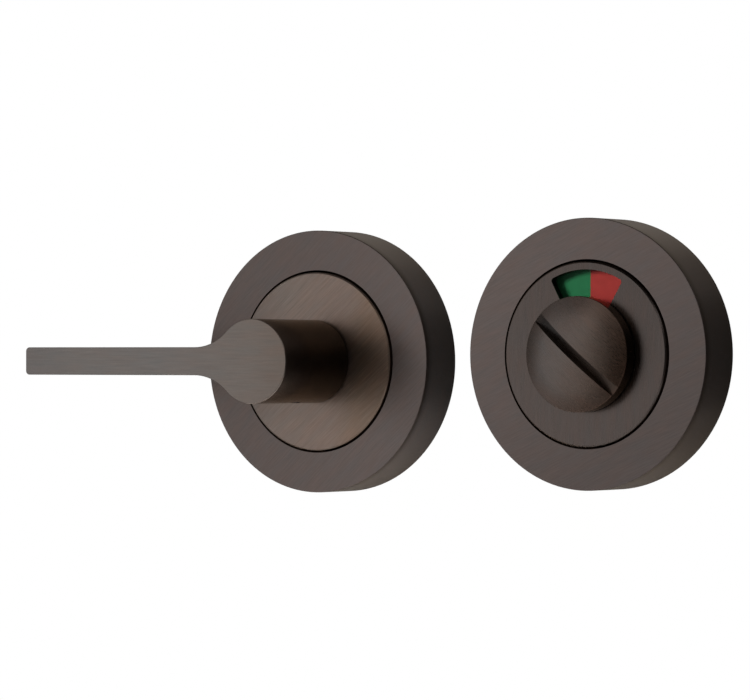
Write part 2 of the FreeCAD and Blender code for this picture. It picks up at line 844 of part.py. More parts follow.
def fixing_bolts():
    """Two captive bolts that pass through the door into the release half's posts.

    Each is waisted where it passes the base plate, as a captive bolt is.
    """
    body = new_body("turn_bolt_above")
    reach = size["door_thickness"] - size["post_length"] + size["bolt_engagement"]
    chamfer = size["bolt_end_chamfer"]
    head_top = head_seat + size["bolt_head_height"]
    revolve(body, "bolt", [
        (ON_AXIS, head_top),
        (size["bolt_head_radius"], head_top),
        (size["bolt_head_radius"], head_seat),
        (size["bolt_waist_radius"], head_seat),
        (size["bolt_waist_radius"], -size["bolt_waist_overrun"]),
        (size["bolt_radius"], -size["bolt_waist_overrun"]),
        (size["bolt_radius"], chamfer - reach),
        (size["bolt_radius"] - chamfer, -reach),
        (ON_AXIS, -reach),
    ])
    edge = rings(body.Shape, size["bolt_head_radius"], head_top)
    dress(body, "Fillet", "head_round", edge, size["bolt_head_round"])
    key = sketch_on(body, "key_hexagon", "XY_Plane", head_top)
    hexagon(key, size["bolt_key_width"])
    pocket(body, "key_socket", key, size["bolt_key_depth"])
    stand_up(body, up=bolt_circle)
    both_sides(body, "turn_fixing_bolts")


def bolt_posts():
    """Two threaded posts riveted into the release half's base plate."""
    body = new_body("release_post_above")
    chamfer = size["post_end_chamfer"]
    rivet_top = head_seat + size["post_rivet_height"]
    thread_end = size["post_thread_depth"] - size["post_length"]
    revolve(body, "post", [
        (ON_AXIS, rivet_top),
        (size["post_radius"], rivet_top),
        (size["post_radius"], head_seat),
        (size["post_spigot_radius"], head_seat),
        (size["post_spigot_radius"], ON_AXIS),
        (size["post_radius"], ON_AXIS),
        (size["post_radius"], chamfer - size["post_length"]),
        (size["post_radius"] - chamfer, -size["post_length"]),
        (size["post_thread_radius"], -size["post_length"]),
        (size["post_thread_radius"], thread_end),
        (ON_AXIS, thread_end),
    ])
    stand_up(body, size["half_spacing"], size["release_rise"] + bolt_circle)
    both_sides(body, "release_bolt_posts")


def release_knob():
    """Domed coin knob and its stepped shaft, turned from one bar, slotted and milled."""
    body = new_body("release_knob")
    radius = size["knob_radius"]
    dome = size["knob_dome_height"]
    dome_radius = (radius * radius + dome * dome) / (dome * 2)
    shaft_end = -size["release_reach"]
    chamfer = size["shaft_end_chamfer"]
    section = sketch_on(body, "knob_section", "XZ_Plane")
    lines = add_path(section, [
        (radius, knob_rim),
        (radius, knob_back),
        (size["knob_neck_radius"], knob_back),
        (size["knob_neck_radius"], carrier_top),
        (size["shaft_radius"], carrier_top),
        (size["shaft_radius"], groove_top),
        (groove_radius, groove_top),
        (groove_radius, groove_bottom),
        (size["shaft_radius"], groove_bottom),
        (size["shaft_radius"], shaft_end + chamfer),
        (size["shaft_radius"] - chamfer, shaft_end),
        (ON_AXIS, shaft_end),
        (ON_AXIS, knob_top),
    ])
    hold_point(section, lines[-1], 2, (ON_AXIS, knob_top))
    centre = (ON_AXIS, knob_top - dome_radius)
    arc = add_arc(section, centre, dome_radius, (radius, knob_rim), (ON_AXIS, knob_top))
    section.addConstraint(Sketcher.Constraint("Coincident", arc, 1, lines[0], 1))
    section.addConstraint(Sketcher.Constraint("Coincident", arc, 2, lines[-1], 2))
    hold(section, "DistanceX", arc, 3, ON_AXIS)
    revolve_sketch(body, "turned_knob", section)
    edge = rings(body.Shape, radius, knob_rim)
    dress(body, "Fillet", "rim_round", edge, size["knob_edge_round"])
    slot_floor = knob_top - size["slot_depth"]
    rise = knob_rim - size["slot_end_depth"] - slot_floor
    cutter_radius = (radius * radius + rise * rise) / (rise * 2)
    slot = sketch_on(body, "slot_cutter", "XZ_Plane", turn=size["slot_angle"])
    add_circle(slot, cutter_radius, (ON_AXIS, slot_floor + cutter_radius))
    pocket(body, "coin_slot", slot, size["slot_width"], both_ways=True)
    flats = sketch_on(body, "flat_outlines", "XY_Plane", carrier_hub_bottom)
    flat_inner = size["shaft_radius"] - size["shaft_flat_depth"]
    flat_outer = size["shaft_radius"] + size["cut_overrun"]
    for side in (1, -1):
        add_outline(flats, [
            (flat_inner * side, -size["shaft_radius"]),
            (flat_outer * side, -size["shaft_radius"]),
            (flat_outer * side, size["shaft_radius"]),
            (flat_inner * side, size["shaft_radius"]),
        ])
    pocket(body, "carrier_flats", flats, carrier_top - carrier_hub_bottom, outward=True)
    cut_square_socket(body, "spindle_socket", shaft_end, size["release_socket_depth"],
                      turn=size["release_travel"] / 2)
    return keep(body, "release_knob", "release")


def indicator_carrier():
    """Disc behind the window, driven by two flats on the knob's shaft."""
    body = new_body("indicator_carrier")
    rim = disc_rim_bore - size["indicator_rim_gap"]
    revolve(body, "carrier", [
        (ON_AXIS, carrier_hub_bottom),
        (size["carrier_hub_radius"], carrier_hub_bottom),
        (size["carrier_hub_radius"], carrier_bottom),
        (rim, carrier_bottom),
        (rim, carrier_top),
        (ON_AXIS, carrier_top),
    ])
    radius = size["shaft_radius"] + size["socket_clearance"]
    flat = size["shaft_radius"] - size["shaft_flat_depth"] + size["socket_clearance"]
    reach = root(radius * radius - flat * flat)
    sketch = sketch_on(body, "flatted_hole", "XY_Plane", carrier_hub_bottom)
    centre = (ON_AXIS, ON_AXIS)
    ends = ((flat, -reach), (flat, reach), (-flat, reach), (-flat, -reach))
    sides = []
    for start, end in (ends[:2], ends[2:]):
        sides.append(sketch.addGeometry(Part.LineSegment(vector(start), vector(end))))
        hold_point(sketch, sides[-1], 1, start)
        hold_point(sketch, sides[-1], 2, end)
    right, left = sides
    over = add_arc(sketch, centre, radius, ends[1], ends[2])
    under = add_arc(sketch, centre, radius, ends[3], ends[0])
    for arc, first, last in ((over, (right, 2), (left, 1)), (under, (left, 2), (right, 1))):
        sketch.addConstraint(Sketcher.Constraint("Coincident", arc, 1, *first))
        sketch.addConstraint(Sketcher.Constraint("Coincident", arc, 2, *last))
        hold(sketch, "DistanceY", arc, 3, ON_AXIS)
    pocket(body, "shaft_hole", sketch, carrier_top - carrier_hub_bottom, outward=True)
    return keep(body, "indicator_carrier", "release")


def indicator_foil(label, side):
    """Half ring of coloured foil stuck to the carrier, to the left or the right."""
    body = new_body(label)
    outer = disc_rim_bore - size["indicator_rim_gap"] - size["foil_margin"]
    sketch = sketch_on(body, "rings", "XY_Plane", carrier_top)
    add_circle(sketch, size["foil_inner_radius"])
    add_circle(sketch, outer)
    pad(body, "ring", sketch, size["foil_thickness"])
    cut = sketch_on(body, "other_half", "XY_Plane", carrier_top)
    add_outline(cut, [
        (ON_AXIS, -rose_radius),
        (rose_radius * side, -rose_radius),
        (rose_radius * side, rose_radius),
        (ON_AXIS, rose_radius),
    ])
    pocket(body, "half", cut, size["foil_thickness"], outward=True)
    return keep(body, label, "release")


def build_turn_half():
    rose_cover("turn")
    face_disc("turn", disc_bush_radius + size["press_clearance"])
    base_plate("turn", size["bolt_radius"] + size["bolt_hole_clearance"])
    shaft_bush("turn")
    disc_bush()
    turn_hub()
    spindle()
    lever()
    lever_grub = grub_screw("turn_lever_grub_screw", size["lever_grub_radius"],
                            size["lever_grub_length"], size["lever_grub_key_width"])
    place_grub(lever_grub, ON_AXIS, -lever_grub_height, -size["spindle_width"] / 2)
    flat_washer("turn")
    wave_washer("turn")
    retaining_clip("turn")
    cover_grub_screw("turn")
    fixing_bolts()


def build_release_half():
    rose_cover("release")
    face_disc("release", release_bore)
    base_plate("release", size["post_spigot_radius"] + size["press_clearance"])
    shaft_bush("release")
    release_knob()
    indicator_carrier()
    indicator_foil("indicator_green", side=1)
    indicator_foil("indicator_red", side=-1)
    flat_washer("release")
    wave_washer("release")
    retaining_clip("release")
    cover_grub_screw("release")
    bolt_posts()


def check_and_export():
    """Stop on any failed object or bad solid, then write each sub-part's own file."""
    document.recompute()
    for item in document.Objects:
        if "Invalid" in item.State or "Error" in item.State:
            raise RuntimeError(f"{item.Label} failed: {item.State}")
    for item in sub_parts:
        if item.Shape.isNull() or not item.Shape.isValid():
            raise RuntimeError(f"{item.Label} has no valid shape")
    os.makedirs("parts", exist_ok=True)
    for item in sub_parts:
        item.Shape.exportStep(f"parts/{item.Label}.step")
        print(item.Label, len(item.Shape.Solids), round(item.Shape.Volume, 1))


build_turn_half()
build_release_half()
check_and_export()
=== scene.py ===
import math

import bpy
import numpy as np
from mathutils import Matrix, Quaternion, Vector


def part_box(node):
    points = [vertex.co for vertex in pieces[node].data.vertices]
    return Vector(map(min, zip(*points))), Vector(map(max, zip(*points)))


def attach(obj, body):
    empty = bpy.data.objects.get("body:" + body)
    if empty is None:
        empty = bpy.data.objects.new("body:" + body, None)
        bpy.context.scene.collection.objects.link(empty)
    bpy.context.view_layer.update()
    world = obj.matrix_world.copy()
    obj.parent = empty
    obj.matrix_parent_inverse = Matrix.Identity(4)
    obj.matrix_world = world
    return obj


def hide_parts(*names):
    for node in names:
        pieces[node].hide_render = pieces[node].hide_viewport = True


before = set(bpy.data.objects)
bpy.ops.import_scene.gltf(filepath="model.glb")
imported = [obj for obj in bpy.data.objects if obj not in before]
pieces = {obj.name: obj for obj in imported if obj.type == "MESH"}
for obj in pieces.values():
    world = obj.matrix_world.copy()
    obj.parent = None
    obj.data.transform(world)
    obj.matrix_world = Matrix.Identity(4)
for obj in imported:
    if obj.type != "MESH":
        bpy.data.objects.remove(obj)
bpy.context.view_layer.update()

# Base plates
# Turned brass plates, nickel plated to a dull grey, that carry everything
# else. Each lies flat on the door behind its rose, with the lathe's rings on
# its back.

MM = 0.001
turn_centre = (0.0, 0.0)
release_low, release_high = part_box("release_rose_cover")
release_centre = ((release_low.x + release_high.x) / 2,
                  (release_low.z + release_high.z) / 2)
nickel = (0.36, 0.35, 0.33)
nickel_dark = (0.30, 0.29, 0.27)
nickel_light = (0.42, 0.41, 0.39)
ring_pitch = 0.22 * MM
ring_depth = 0.006 * MM


def new_skin(name, colour, roughness, metallic):
    """An opaque skin with its plain values set on the shader itself."""
    skin = bpy.data.materials.new(name)
    skin.use_nodes = True
    tree = skin.node_tree
    tree.nodes.clear()
    output = tree.nodes.new("ShaderNodeOutputMaterial")
    shader = tree.nodes.new("ShaderNodeBsdfPrincipled")
    shader.inputs["Base Color"].default_value = (*colour, 1)
    shader.inputs["Roughness"].default_value = roughness
    shader.inputs["Metallic"].default_value = metallic
    tree.links.new(shader.outputs["BSDF"], output.inputs["Surface"])
    return skin, tree, shader


def place_pattern(tree, centre, angle=0.0, stretch=(1, 1, 1)):
    """Object coordinates about a piece's own axis, turned in the face, then stretched."""
    place = tree.nodes.new("ShaderNodeTexCoord")
    middle = tree.nodes.new("ShaderNodeVectorMath")
    middle.operation = "SUBTRACT"
    middle.inputs[1].default_value = (centre[0], 0, centre[1])
    turned = tree.nodes.new("ShaderNodeVectorRotate")
    turned.rotation_type = "Y_AXIS"
    turned.inputs["Angle"].default_value = angle
    scaled = tree.nodes.new("ShaderNodeVectorMath")
    scaled.operation = "MULTIPLY"
    scaled.inputs[1].default_value = stretch
    tree.links.new(place.outputs["Object"], middle.inputs[0])
    tree.links.new(middle.outputs[0], turned.inputs["Vector"])
    tree.links.new(turned.outputs[0], scaled.inputs[0])
    return scaled.outputs[0]


def noise(tree, vector, detail=2.0, roughness=0.5, scale=1.0):
    """Cloudy noise between nought and one over a placed pattern."""
    cloud = tree.nodes.new("ShaderNodeTexNoise")
    cloud.inputs["Scale"].default_value = scale
    cloud.inputs["Detail"].default_value = detail
    cloud.inputs["Roughness"].default_value = roughness
    tree.links.new(vector, cloud.inputs["Vector"])
    return cloud.outputs["Fac"]


def spread(tree, value, low, high, start=0.3, end=0.7):
    """Stretch a value that lies between start and end over low to high."""
    ranged = tree.nodes.new("ShaderNodeMapRange")
    ranged.inputs["From Min"].default_value = start
    ranged.inputs["From Max"].default_value = end
    ranged.inputs["To Min"].default_value = low
    ranged.inputs["To Max"].default_value = high
    tree.links.new(value, ranged.inputs["Value"])
    return ranged.outputs["Result"]


def tint(tree, value, dark, light):
    """Blend from a dark to a light colour as the value goes from nought to one."""
    blend = tree.nodes.new("ShaderNodeMix")
    blend.data_type = "RGBA"
    blend.inputs[6].default_value = (*dark, 1)
    blend.inputs[7].default_value = (*light, 1)
    tree.links.new(value, blend.inputs[0])
    return blend.outputs[2]


def relief(tree, shader, value, depth):
    """Fine relief of this depth in metres on the shader's normal."""
    bump = tree.nodes.new("ShaderNodeBump")
    bump.inputs["Strength"].default_value = 1.0
    bump.inputs["Distance"].default_value = depth
    tree.links.new(value, bump.inputs["Height"])
    tree.links.new(bump.outputs["Normal"], shader.inputs["Normal"])


def lathe_rings(tree, centre, pitch):
    """Rings left by the tool: noise over the distance from the lathe's axis alone."""
    place = place_pattern(tree, centre, stretch=(1 / pitch, 0, 1 / pitch))
    reach = tree.nodes.new("ShaderNodeVectorMath")
    reach.operation = "LENGTH"
    tree.links.new(place, reach.inputs[0])
    return noise(tree, reach.outputs["Value"], detail=3.0)


def turned_plate(name, centre):
    """Dull nickel over turned brass, its rings a little lighter and darker."""
    skin, tree, shader = new_skin(name, nickel, roughness=0.36, metallic=1.0)
    rings = lathe_rings(tree, centre, ring_pitch)
    colour = tint(tree, spread(tree, rings, 0, 1), nickel_dark, nickel_light)
    tree.links.new(colour, shader.inputs["Base Color"])
    tree.links.new(spread(tree, rings, 0.30, 0.42), shader.inputs["Roughness"])
    relief(tree, shader, rings, ring_depth)
    return skin


def wear(node, skin):
    """Give one piece of the lock this skin over all its faces."""
    mesh = pieces[node].data
    mesh.materials.clear()
    mesh.materials.append(skin)


wear("turn_base_plate", turned_plate("turn plate nickel", turn_centre))
wear("release_base_plate", turned_plate("release plate nickel", release_centre))

# Bushes
# Black nylon, moulded matt, pressed in the plates and in the lever's disc so
# that no metal turns on metal.

mould_clouds = 0.6
mould_grains = 9.0
grain_depth = 0.004 * MM


def uneven(tree, value, colour, share):
    """Blend from a share darker to a share lighter than a colour."""
    darker = tuple((1 - share) * part for part in colour)
    lighter = tuple((1 + share) * part for part in colour)
    return tint(tree, value, darker, lighter)


def moulded(name, colour):
    """Moulded plastic with its mould's faint clouds and grain, so many to a millimetre."""
    skin, tree, shader = new_skin(name, colour, roughness=0.5, metallic=0.0)
    place = place_pattern(tree, turn_centre, stretch=(1 / MM, 1 / MM, 1 / MM))
    cloud = noise(tree, place, detail=3.0, scale=mould_clouds)
    tree.links.new(uneven(tree, cloud, colour, 0.15), shader.inputs["Base Color"])
    relief(tree, shader, noise(tree, place, scale=mould_grains), grain_depth)
    return skin, shader


black_nylon, _ = moulded("black nylon", (0.014, 0.013, 0.013))
for bush in ("turn_shaft_bush", "release_shaft_bush", "turn_disc_bush"):
    wear(bush, black_nylon)

# Hub, spindle, posts, washers and clips
# The hub, the square spindle and the bolt posts are zinc plated steel, drawn
# along their length. The washers are bright spring steel, and the clips and
# grub screws are blackened.


def drawn_steel(name, colour, roughness, streak):
    """Steel with streaks this many millimetres along X, Y and Z, as it was drawn or rolled."""
    skin, tree, shader = new_skin(name, colour, roughness, metallic=1.0)
    stretch = tuple(1 / (length * MM) for length in streak)
    streaks = noise(tree, place_pattern(tree, turn_centre, stretch=stretch), detail=3.0)
    colours = uneven(tree, spread(tree, streaks, 0, 1), colour, 0.14)
    tree.links.new(colours, shader.inputs["Base Color"])
    rough = spread(tree, streaks, roughness - 0.05, roughness + 0.05)
    tree.links.new(rough, shader.inputs["Roughness"])
    return skin


plated_steel = drawn_steel("zinc plate", (0.52, 0.53, 0.54), 0.30, streak=(0.25, 6, 0.25))
spring_steel = drawn_steel("spring steel", (0.42, 0.41, 0.40), 0.24, streak=(0.4, 0.4, 3))
black_steel = drawn_steel("black oxide", (0.035, 0.034, 0.036), 0.34, streak=(0.5, 0.5, 0.5))
for steel_piece in ("turn_hub", "spindle", "release_bolt_posts"):
    wear(steel_piece, plated_steel)
for half in ("turn", "release"):
    wear(half + "_flat_washer", spring_steel)
    wear(half + "_wave_washer", spring_steel)
    wear(half + "_retaining_clip", black_steel)
    wear(half + "_cover_grub_screw", black_steel)
wear("turn_lever_grub_screw", black_steel)

# Fixing bolts
# Two captive machine bolts with hexagon sockets, rolled from wire and zinc
# plated. Their thread runs from just behind the plate to the chamfered end.

bolt_low, bolt_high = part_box("turn_fixing_bolts")
bolt_radius = 2.0 * MM
waist_radius = 1.6 * MM
head_radius = 3.5 * MM
head_height = 2.2 * MM
head_edge = 0.4 * MM
key_width = 2.5 * MM
key_depth = 1.3 * MM
thread_start = 0.3 * MM
thread_pitch = 0.7 * MM
thread_depth = 0.37 * MM
end_chamfer = 0.5 * MM
columns_round = 48
edge_rows = 6
rows_each_pitch = 8


def bolt_shape():
    """Radius over a grid of rows along the bolt and columns round it, and each row's place on Y.

    A plain row is a circle. The socket's rows follow a hexagon, whose radius is its half
    width over the cosine of the angle from its nearest flat's middle. The head's edge is a
    quarter of a circle. A thread row is a circle less a share of the depth, a cosine of the
    turns made along the bolt less the turn round it, which runs in over the first pitch, and
    it never reaches outside the chamfer's cone.
    """
    turns = np.arange(columns_round) / columns_round
    sixth = math.pi / 3
    hexagon = key_width / 2 / np.cos((2 * math.pi * turns + sixth / 2) % sixth - sixth / 2)
    head_top, end = bolt_low.y, bolt_high.y
    bend = np.linspace(0, 1, edge_rows) * math.pi / 2
    edge_radii = head_radius - head_edge + head_edge * np.sin(bend)
    edge_places = head_top + head_edge - head_edge * np.cos(bend)
    plain_radii = [*edge_radii, head_radius, waist_radius, waist_radius]
    seat = head_top + head_height
    thread_rows = int((end - thread_start) / thread_pitch * rows_each_pitch)
    along = np.linspace(thread_start, end, thread_rows)[:, None]
    wave = 0.5 - 0.5 * np.cos(2 * math.pi * (along / thread_pitch - turns))
    run_in = np.minimum(1.0, (along - thread_start) / thread_pitch)
    cone = bolt_radius - end_chamfer + (end - along)
    thread = np.minimum(bolt_radius - thread_depth * wave * run_in, cone)
    plain = np.array(plain_radii)[:, None] * np.ones(columns_round)
    radius = np.concatenate([[hexagon, hexagon], plain, thread])
    places = np.concatenate([[head_top + key_depth, head_top], edge_places,
                             [seat, seat, thread_start], along[:, 0]])
    return radius, places


def turned_pieces(name, radius, places, axes):
    """Closed round pieces along Y from one grid of radii, a piece at each axis across and up.

    A point lies at its radius times the cosine and sine of its angle round the axis.
    Neighbouring rows are joined by four-sided faces, and a fan about one point closes each
    end.
    """
    rows, around = radius.shape
    angle = 2 * math.pi * np.arange(around) / around
    along = places[:, None] * np.ones(around)
    ring = np.arange(around)
    following = (ring + 1) % around
    first = (np.arange(rows - 1) * around)[:, None]
    walls = np.stack([first + ring, first + around + ring,
                      first + around + following, first + following], axis=-1).reshape(-1, 4)
    last = (rows - 1) * around
    near_middle = np.full(around, rows * around)
    near_fan = np.stack([near_middle, ring, following], axis=-1)
    far_fan = np.stack([near_middle + 1, last + following, last + ring], axis=-1)
    points, faces = [], []
    for number, (across, up) in enumerate(axes):
        wall = np.stack([across + radius * np.cos(angle), along,
                         up + radius * np.sin(angle)], axis=-1).reshape(-1, 3)
        start = number * (len(wall) + 2)
        points += [wall, [[across, places[0], up], [across, places[-1], up]]]
        for part in (walls, near_fan, far_fan):
            faces += (start + part).tolist()
    mesh = bpy.data.meshes.new(name)
    mesh.from_pydata(np.concatenate(points).tolist(), [], faces)
    mesh.update()
    piece = bpy.data.objects.new(name, mesh)
    bpy.context.scene.collection.objects.link(piece)
    return piece


bolt_axes = [(0.0, bolt_high.z - head_radius), (0.0, bolt_low.z + head_radius)]
bolts = turned_pieces("threaded_bolts", *bolt_shape(), bolt_axes)
bolts.data.materials.append(plated_steel)
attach(bolts, "root")
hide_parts("turn_fixing_bolts")

# Rose covers
# Deep rings turned from brass, darkened to bronze in a bath and brushed by
# hand across the belt, each at its own angle, then lacquered. What lies in
# the gap round the disc and inside the cover isn't brushed, and is painted
# flat black as shade. Across each face the tone is painted lighter toward one
# side as light. Down the sides a dark band of painted shade lies just behind
# the front edge, then a lighter, cooler band of painted reflection, then
# painted shade darkening toward the door.

patch_length = 6 * MM
patch_width = 1.8 * MM
cool_patch = (0.96, 1.00, 1.02)
warm_patch = (1.04, 0.99, 0.97)
streak_depth = 0.0022 * MM
tangent_tilt = 0.35


def toned(tree, colour, tones):
    """One colour multiplied by another, channel by channel."""
    product = tree.nodes.new("ShaderNodeMix")
    product.data_type = "RGBA"
    product.blend_type = "MULTIPLY"
    product.inputs[0].default_value = 1.0
    tree.links.new(colour, product.inputs[6])
    tree.links.new(tones, product.inputs[7])
    return product.outputs[2]


def distance_along(tree, centre, way, angle=0.0):
    """Distance along X from a piece's axis, or along Y from the door, after a turn in the face."""
    parts = tree.nodes.new("ShaderNodeSeparateXYZ")
    tree.links.new(place_pattern(tree, centre, angle), parts.inputs[0])
    return parts.outputs[way]


def shaded(tree, distance, stops, start=0.0):
    """Painted light and shade along a distance: pairs of millimetres from a start and a grey or
    coloured share.
    """
    places = [start + place * MM for place, tone in stops]
    tones = [(*(np.ones(3) * tone), 1) for place, tone in stops]
    nearest, farthest = places[0], places[-1]
    ramp = tree.nodes.new("ShaderNodeValToRGB")
    tree.links.new(spread(tree, distance, 0, 1, nearest, farthest), ramp.inputs[0])
    elements = ramp.color_ramp.elements
    elements[0].color = tones[0]
    elements[1].color = tones[-1]
    for place, tone in zip(places[1:-1], tones[1:-1]):
        elements.new((place - nearest) / (farthest - nearest)).color = tone
    return ramp.outputs["Color"]


def brushed_bronze(name, centre, brushing, colour, painted_shading_angle, painted_shading, front, behind, contrast=0.16,
                   roughness=0.28, length=5, width=0.16, lean=0.5, metallic=1.0):
    """Lacquered dark bronze brushed one way, from thin streaks in uneven warm and cool brown.

    The streaks are noise squeezed across the brushing, so many millimetres long and wide,
    over longer and wider patches that lean to red or to grey. Painted light and shade run
    from the piece's axis along their own angle of the face, and painted shade, highlight
    and reflection run back from the front face, which stands at its place on Y. Angles are
    in degrees. The gloss is spread across the streaks: its tangent lies square to them, and
    tilts a little out of the face so that no wall of the piece stands square to it.
    """
    skin, tree, shader = new_skin(name, colour, roughness, metallic)
    angle = math.radians(brushing)
    across, along = 1 / (width * MM), 1 / (length * MM)
    fine = noise(tree, place_pattern(tree, centre, angle, (along, across, across)),
                 detail=3.0, roughness=0.6)
    across, along = 1 / patch_width, 1 / patch_length
    patches = noise(tree, place_pattern(tree, centre, angle, (along, across, across)), detail=4.0)
    streaked = uneven(tree, spread(tree, fine, 0, 1), colour, contrast)
    leaning = tint(tree, spread(tree, patches, 0, 1), cool_patch, warm_patch)
    patched = toned(tree, streaked, leaning)
    # Painted light and shade across the face, from the piece's axis along their own angle.
    over_face = distance_along(tree, centre, "X", math.radians(painted_shading_angle))
    painted_across = toned(tree, patched, shaded(tree, over_face, painted_shading))
    # Painted shade, highlight and reflection back from the front face toward the door.
    from_door = distance_along(tree, centre, "Y")
    painted_behind = toned(tree, painted_across, shaded(tree, from_door, behind, start=front))
    tree.links.new(painted_behind, shader.inputs["Base Color"])
    tree.links.new(spread(tree, fine, roughness - 0.03, roughness + 0.04),
                   shader.inputs["Roughness"])
    relief(tree, shader, fine, streak_depth)
    tangent = tree.nodes.new("ShaderNodeCombineXYZ")
    tangent.inputs["X"].default_value = -math.sin(angle)
    tangent.inputs["Y"].default_value = tangent_tilt
    tangent.inputs["Z"].default_value = math.cos(angle)
    carried = tree.nodes.new("ShaderNodeVectorTransform")
    carried.vector_type = "VECTOR"
    carried.convert_from = "OBJECT"
    carried.convert_to = "WORLD"
    tree.links.new(tangent.outputs[0], carried.inputs[0])
    tree.links.new(carried.outputs[0], shader.inputs["Tangent"])
    shader.inputs["Anisotropic"].default_value = lean
    shader.inputs["Coat Weight"].default_value = 0.2
    shader.inputs["Coat Roughness"].default_value = 0.25
    shader.inputs["Specular Tint"].default_value = (1.0, 0.86, 0.72, 1)
    return skin


rose_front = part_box("turn_rose_cover")[0].y
# Painted shade and reflection down the covers' sides, in millimetres back from the front face: the
# front's tone, a dark band just behind the edge, a lighter, cooler band, then darker toward the
# door.
rose_painted_edge = ((0, 1.0), (0.02, 1.0), (0.08, 0.6), (0.16, (0.36, 0.34, 0.34)),
             (0.6, (0.38, 0.37, 0.37)))
turn_rose_painted_sides = (*rose_painted_edge, (1.3, (0.70, 0.77, 0.83)), (2.3, (0.95, 1.02, 1.10)),
                    (5, (0.86, 0.93, 0.99)), (10.5, (0.58, 0.63, 0.68)))
release_rose_painted_sides = (*rose_painted_edge, (1.3, (0.66, 0.69, 0.74)), (2.3, (0.86, 0.90, 0.98)),
                       (5, (0.78, 0.82, 0.90)), (10.5, (0.54, 0.57, 0.62)))
# Painted light across each cover's face: lighter toward one side.
wear("turn_rose_cover", brushed_bronze(
    "turn rose bronze", turn_centre, brushing=42, colour=(0.110, 0.088, 0.081),
    painted_shading_angle=0, painted_shading=((-20, 0.98), (20, 1.16)),
    front=rose_front, behind=turn_rose_painted_sides,
    contrast=0.12, roughness=0.33, length=4, lean=0.7))
wear("release_rose_cover", brushed_bronze(
    "release rose bronze", release_centre, brushing=24, colour=(0.109, 0.087, 0.080),
    painted_shading_angle=120, painted_shading=((-20, 0.86), (20, 1.14)),
    front=rose_front, behind=release_rose_painted_sides,
    contrast=0.12, roughness=0.31, length=4, lean=0.7))


def painted_shade_black(name):
    """Dull brownish black painted as shade, a little clouded and without any gloss."""
    skin, tree, shader = new_skin(name, (0.024, 0.014, 0.009), roughness=1.0, metallic=0.0)
    shader.inputs["Specular IOR Level"].default_value = 0.0
    cloud = noise(tree, place_pattern(tree, turn_centre, stretch=(1 / MM, 1 / MM, 1 / MM)))
    colour = tint(tree, cloud, (0.020, 0.011, 0.007), (0.028, 0.017, 0.011))
    tree.links.new(colour, shader.inputs["Base Color"])
    return skin


def wear_between(piece, skin, centre, nearest, farthest, start=-1.0, end=1.0):
    """Give this skin to the faces wholly between two radii and between two places on Y."""
    mesh = piece.data
    mesh.materials.append(skin)
    places = np.empty(3 * len(mesh.vertices))
    mesh.vertices.foreach_get("co", places)
    places = places.reshape(-1, 3)
    reach = np.hypot(places[:, 0] - centre[0], places[:, 2] - centre[1])
    within = ((reach > nearest) & (reach < farthest)
              & (places[:, 1] > start) & (places[:, 1] < end))
    corners = np.empty(len(mesh.loops), dtype=int)
    mesh.loops.foreach_get("vertex_index", corners)
    firsts = np.empty(len(mesh.polygons), dtype=int)
    mesh.polygons.foreach_get("loop_start", firsts)
    inside = np.minimum.reduceat(within[corners].astype(int), firsts)
    slots = np.empty(len(mesh.polygons), dtype=int)
    mesh.polygons.foreach_get("material_index", slots)
    slots[inside == 1] = len(mesh.materials) - 1
    mesh.polygons.foreach_set("material_index", slots)
    mesh.update()


# Painted shade: a flat black for the gap round each disc, the inside of each cover, the front of
# each plate and the bolt heads inside the cover.
gap_painted_shade = painted_shade_black("bath black")
opening_reach = 18.34 * MM
inner_reach = 25.6 * MM
shaft_reach = 12 * MM
face_inside = rose_front + 0.2 * MM
plate_back = -0.5 * MM
plate_front = -2.9 * MM
# Each gap wall, the cover's inside, the plate's front and the bolt heads get the painted shade.
for half, centre, fixing in (("turn", turn_centre, bolts),
                             ("release", release_centre, pieces["release_bolt_posts"])):
    cover, plate = pieces[half + "_rose_cover"], pieces[half + "_base_plate"]
    wear_between(cover, gap_painted_shade, centre, 0.0, opening_reach)
    wear_between(cover, gap_painted_shade, centre, 0.0, inner_reach, start=face_inside)
    wear_between(plate, gap_painted_shade, centre, shaft_reach, inner_reach, end=plate_back)
    wear_between(fixing, gap_painted_shade, centre, shaft_reach, inner_reach, end=plate_front)

# Face discs
# Shallow cups pressed from sheet and finished as the covers are. The lever's
# disc came out of its bath a little lighter and warmer than the rest. Across
# each face the tone is painted lighter and darker as light and shade, with a
# warm painted reflection of the boss to its right on the lever's disc, and
# each rim below the face is painted darker, then black, as shade in the gap.

disc_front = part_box("turn_face_disc")[0].y
# Painted shade on each disc's rim, darkening back from its face into the gap.
disc_painted_rim = ((0, 1.0), (0.02, 0.9), (0.22, 0.8), (0.27, 0.25), (0.35, 0.2), (2, 0.1))
# Painted light on the lever's disc: darker and cooler toward the left, and a warm painted
# reflection of the boss to its right.
wear("turn_face_disc", brushed_bronze(
    "turn disc bronze", turn_centre, brushing=40, colour=(0.172, 0.129, 0.108),
    painted_shading_angle=-8, painted_shading=((-16, (0.72, 0.78, 0.82)), (-8, (0.93, 0.97, 0.99)),
                         (6, (1.02, 1.01, 1.00)), (11, (1.02, 0.96, 0.86)),
                         (18, (1.06, 0.98, 0.87))),
    front=disc_front, behind=disc_painted_rim, contrast=0.18, roughness=0.32, metallic=0.88))
wear("release_face_disc", brushed_bronze(
    "release disc bronze", release_centre, brushing=88, colour=(0.088, 0.070, 0.063),
    painted_shading_angle=230, painted_shading=((-20, 0.9), (20, 1.1)), front=disc_front, behind=disc_painted_rim))
# Painted shade: each disc's edge in the gap gets the flat black.
for disc, centre in (("turn_face_disc", turn_centre), ("release_face_disc", release_centre)):
    wear_between(pieces[disc], gap_painted_shade, centre, 17.5 * MM, 17.9 * MM)

